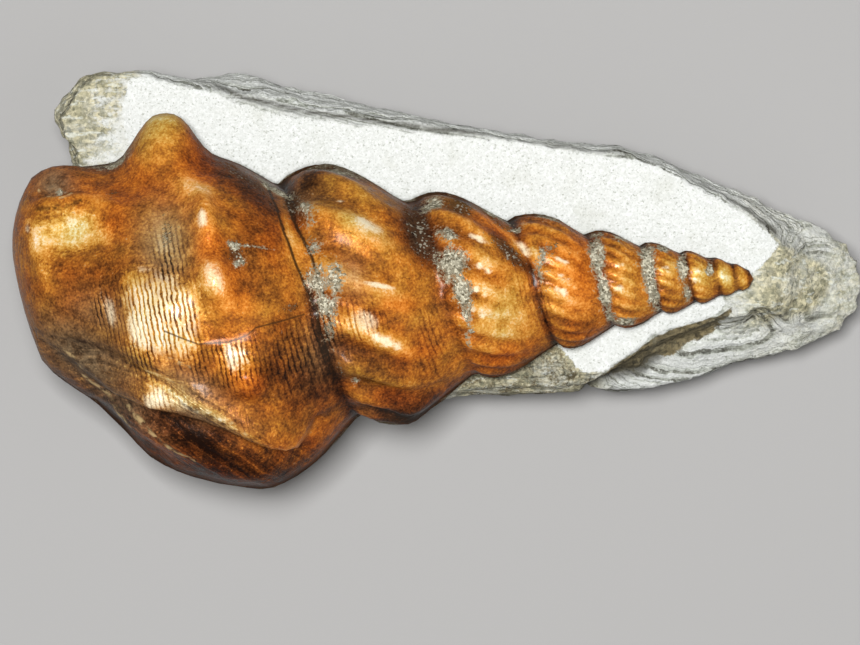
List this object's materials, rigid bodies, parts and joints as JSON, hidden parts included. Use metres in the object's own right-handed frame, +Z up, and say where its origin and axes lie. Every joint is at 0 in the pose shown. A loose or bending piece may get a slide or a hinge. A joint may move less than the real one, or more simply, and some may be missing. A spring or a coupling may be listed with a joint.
{
  "type": "fossil snail shell on matrix",
  "caption": "High-spired fossil sea snail with a ribbed spire and a horned, keeled last whorl, half sunk in a long block of shale.",
  "frame": {"origin": "middle of the specimen's footprint, on the surface that the block stands on", "axes": "+X along the shell's axis towards its apex, +Z up, out of the side of the shell that shows"},
  "size_m": [0.0856, 0.0421, 0.035],
  "materials": {
    "shell": "polished amber-brown calcite",
    "matrix": "rough pale grey shale"
  },
  "bodies": {
    "root": {"shell": "shell", "matrix": "matrix"}
  },
  "joints": []
}
